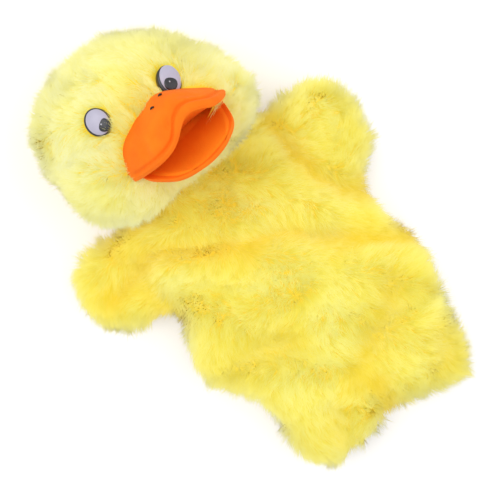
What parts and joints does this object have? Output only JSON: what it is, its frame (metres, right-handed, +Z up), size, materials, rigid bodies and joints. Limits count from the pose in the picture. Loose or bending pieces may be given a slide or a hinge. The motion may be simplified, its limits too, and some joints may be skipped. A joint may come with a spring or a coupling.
{
  "type": "moving mouth hand puppet",
  "caption": "Plush duck hand puppet with an opening bill, floppy wings and an open hem, lying on its back with the bill pointing up.",
  "frame": {"origin": "on the table under the middle of the whole puppet", "axes": "+Z up from the table, out of the face; +Y from the hem to the crown of the head; +X to the puppet's own left"},
  "size_m": [0.209, 0.2964, 0.1138],
  "materials": {
    "yellow_plush": "long soft pile",
    "facing_cloth": "plain woven",
    "orange_cloth": "short smooth pile",
    "stuffing": "loose fibre",
    "board": "flexible sheet",
    "black_thread": "twisted thread",
    "eye_white": "smooth",
    "eye_black": "smooth",
    "washer_plastic": "moulded"
  },
  "bodies": {
    "torso": {"body_front_panel": "yellow_plush", "body_back_panel": "yellow_plush", "hem_facing": "facing_cloth"},
    "right_wing": {"right_wing_front_panel": "yellow_plush", "right_wing_back_panel": "yellow_plush", "right_wing_stuffing": "stuffing"},
    "left_wing": {"left_wing_front_panel": "yellow_plush", "left_wing_back_panel": "yellow_plush", "left_wing_stuffing": "stuffing"},
    "head": {"head_back_panel": "yellow_plush", "head_crown_gusset": "yellow_plush", "head_right_panel": "yellow_plush", "head_left_panel": "yellow_plush", "head_stuffing": "stuffing", "upper_bill_cover": "orange_cloth", "upper_bill_padding": "stuffing", "upper_mouth_board": "board", "upper_mouth_lining": "orange_cloth", "nostril_stitches": "black_thread", "right_eye_white": "eye_white", "left_eye_white": "eye_white", "right_eye_pupil": "eye_black", "left_eye_pupil": "eye_black", "eye_washers": "washer_plastic"},
    "jaw": {"chin_panel": "yellow_plush", "lower_bill_cover": "orange_cloth", "lower_bill_padding": "stuffing", "lower_mouth_board": "board", "lower_mouth_lining": "orange_cloth"}
  },
  "joints": [
    {"name": "neck_nod", "type": "hinge", "parent": "torso", "child": "head", "pos_m": [0, 0.04775, 0.014], "axis": [1, 0, 0], "range_deg": [0, 24]},
    {"name": "jaw_open", "type": "hinge", "parent": "head", "child": "jaw", "pos_m": [0.0095, 0.06975, 0.074], "axis": [0.9815, 0.0807, -0.1736], "range_deg": [-23, 8]},
    {"name": "right_wing_flap", "type": "hinge", "parent": "torso", "child": "right_wing", "pos_m": [-0.0525, 0.029, 0.022], "axis": [0, 1, 0], "range_deg": [0, 60]},
    {"name": "left_wing_flap", "type": "hinge", "parent": "torso", "child": "left_wing", "pos_m": [0.0525, 0.018, 0.022], "axis": [0, -1, 0], "range_deg": [0, 60]}
  ]
}
